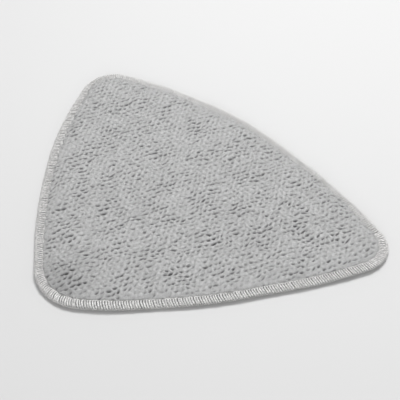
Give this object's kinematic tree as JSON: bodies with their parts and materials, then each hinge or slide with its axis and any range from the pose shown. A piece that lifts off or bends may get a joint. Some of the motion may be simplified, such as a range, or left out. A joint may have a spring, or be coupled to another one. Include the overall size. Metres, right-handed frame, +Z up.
{
  "type": "steam mop pad",
  "caption": "Flat rounded-triangle microfibre cleaning pad with tufted pile on its face and an overlocked edge.",
  "frame": {"origin": "middle of the outline's box, on the surface the pad lies on (the back face)", "axes": "+Z up out of the pile, +X across the width, +Y towards the long bowed edge, so the rounded tip points along -Y"},
  "size_m": [0.335, 0.254, 0.0082],
  "materials": {
    "pile": "light-grey microfibre tufts",
    "ground_cloth": "dark grey knitted polyester",
    "wadding": "white needled wadding",
    "loop_cloth": "grey brushed loop knit",
    "looper_thread": "textured polyester overlock thread",
    "needle_thread": "spun polyester sewing thread"
  },
  "bodies": {
    "root": {"face_pile": "pile", "face_ground_cloth": "ground_cloth", "core_wadding": "wadding", "back_cloth": "loop_cloth", "upper_looper_thread": "looper_thread", "lower_looper_thread": "looper_thread", "needle_thread": "needle_thread"}
  },
  "joints": []
}
